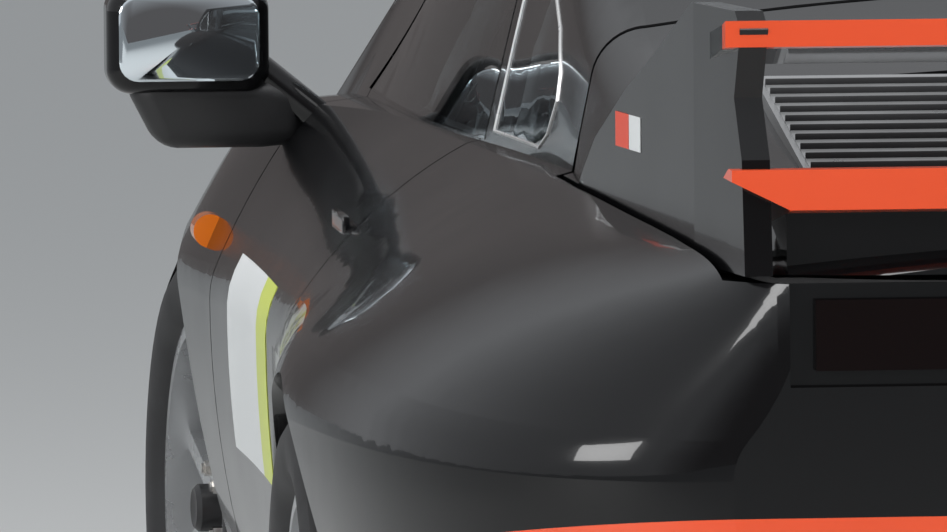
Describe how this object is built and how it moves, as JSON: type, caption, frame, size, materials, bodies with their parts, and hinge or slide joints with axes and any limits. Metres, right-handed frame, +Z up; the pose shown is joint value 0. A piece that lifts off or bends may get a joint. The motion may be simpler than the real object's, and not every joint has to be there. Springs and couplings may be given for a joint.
{
  "type": "two-door rally car",
  "caption": "Low two-door rally coupé with a wide tail, slatted engine lid, two-level tail wing, roll cage, turning wheels, steering, doors, bonnet and rear lid.",
  "frame": {"origin": "on the ground, under the middle of the car's length and width", "axes": "+Y points to the nose, +X to the car's right, +Z up"},
  "size_m": [1.944, 4.28, 1.2913],
  "materials": {
    "black_paint": "gloss black clearcoat paint",
    "orange_paint": "gloss orange-red paint",
    "window_glass": "clear laminated glass, faintly green",
    "lamp_lens": "clear moulded lens",
    "smoked_lens": "smoked red lens",
    "amber_lens": "amber moulded lens",
    "raw_steel": "satin black chassis paint",
    "cage_paint": "satin black tube paint",
    "trim": "grained black plastic",
    "slat_plastic": "satin black moulded slats",
    "seat_fabric": "woven black seat cloth",
    "engine_alloy": "sand-cast alloy",
    "exhaust_steel": "heat-tinted stainless steel",
    "wheel_alloy": "satin silver cast alloy",
    "forged_steel": "dark forged steel",
    "tyre": "road tyre rubber",
    "grip": "black suede and leather grip",
    "eye_paint": "red painted towing eye"
  },
  "bodies": {
    "chassis": {"platform": "raw_steel", "cabin_frame": "black_paint", "front_fender_left": "black_paint", "front_fender_right": "black_paint", "rear_fender_left": "black_paint", "rear_fender_right": "black_paint", "front_bumper": "black_paint", "front_valance": "orange_paint", "rear_bumper": "black_paint", "rear_valance": "orange_paint", "headlamps": "lamp_lens", "tail_lamps": "smoked_lens", "side_repeaters": "amber_lens", "fixed_glass": "window_glass", "roll_cage": "cage_paint", "dashboard": "trim", "bucket_seats": "seat_fabric", "engine_block": "engine_alloy", "exhaust": "exhaust_steel", "suspension": "forged_steel", "towing_eyes": "eye_paint"},
    "door_left": {"door_left": "black_paint", "door_glass_left": "window_glass", "mirror_left": "black_paint"},
    "door_right": {"door_right": "black_paint", "door_glass_right": "window_glass", "mirror_right": "black_paint"},
    "bonnet": {"bonnet": "black_paint"},
    "rear_lid": {"rear_lid": "black_paint", "lid_slats": "slat_plastic", "wing_pylons": "black_paint", "wing_lip": "orange_paint", "wing_blade": "black_paint", "wing_edge": "orange_paint"},
    "knuckle_left": {"knuckle_left": "forged_steel"},
    "knuckle_right": {"knuckle_right": "forged_steel"},
    "wheel_front_left": {"front_rim_left": "wheel_alloy", "front_tyre_left": "tyre"},
    "wheel_front_right": {"front_rim_right": "wheel_alloy", "front_tyre_right": "tyre"},
    "wheel_rear_left": {"rear_rim_left": "wheel_alloy", "rear_tyre_left": "tyre"},
    "wheel_rear_right": {"rear_rim_right": "wheel_alloy", "rear_tyre_right": "tyre"},
    "steering_wheel": {"steering_wheel": "grip"}
  },
  "joints": [
    {"name": "door_left_hinge", "type": "hinge", "parent": "chassis", "child": "door_left", "pos_m": [-0.852, 0.61, 0.55], "axis": [0, 0, -1], "range_deg": [0, 62]},
    {"name": "door_right_hinge", "type": "hinge", "parent": "chassis", "child": "door_right", "pos_m": [0.852, 0.61, 0.55], "axis": [0, 0, 1], "range_deg": [0, 62]},
    {"name": "bonnet_hinge", "type": "hinge", "parent": "chassis", "child": "bonnet", "pos_m": [0, 0.94, 0.889], "axis": [1, 0, 0], "range_deg": [0, 60]},
    {"name": "rear_lid_hinge", "type": "hinge", "parent": "chassis", "child": "rear_lid", "pos_m": [0, -1.0825, 1.079], "axis": [-1, 0, 0], "range_deg": [0, 55]},
    {"name": "steer_left", "type": "hinge", "parent": "chassis", "child": "knuckle_left", "pos_m": [-0.655, 1.18, 0.3], "axis": [0, 0, 1], "range_deg": [-38, 26]},
    {"name": "steer_right", "type": "hinge", "parent": "chassis", "child": "knuckle_right", "pos_m": [0.655, 1.18, 0.3], "axis": [0, 0, 1], "range_deg": [-38, 26]},
    {"name": "steering_wheel_turn", "type": "hinge", "parent": "chassis", "child": "steering_wheel", "pos_m": [-0.345, 0.33, 0.8], "axis": [0, -0.9021, 0.4315], "range_deg": [-456, 312]},
    {"name": "roll_front_left", "type": "hinge", "parent": "knuckle_left", "child": "wheel_front_left", "pos_m": [-0.72959, 1.17216, 0.322], "axis": [0.9945, 0.1045, 0], "continuous": true},
    {"name": "roll_front_right", "type": "hinge", "parent": "knuckle_right", "child": "wheel_front_right", "pos_m": [0.72959, 1.18784, 0.322], "axis": [0.9945, 0.1045, 0], "continuous": true},
    {"name": "roll_rear_left", "type": "hinge", "parent": "chassis", "child": "wheel_rear_left", "pos_m": [-0.762, -1.22, 0.322], "axis": [1, 0, 0], "continuous": true},
    {"name": "roll_rear_right", "type": "hinge", "parent": "chassis", "child": "wheel_rear_right", "pos_m": [0.762, -1.22, 0.322], "axis": [1, 0, 0], "continuous": true}
  ],
  "couplings": [
    {"joint": "steer_right", "follows": "steer_left", "ratio": 1},
    {"joint": "steering_wheel_turn", "follows": "steer_left", "ratio": 12}
  ]
}
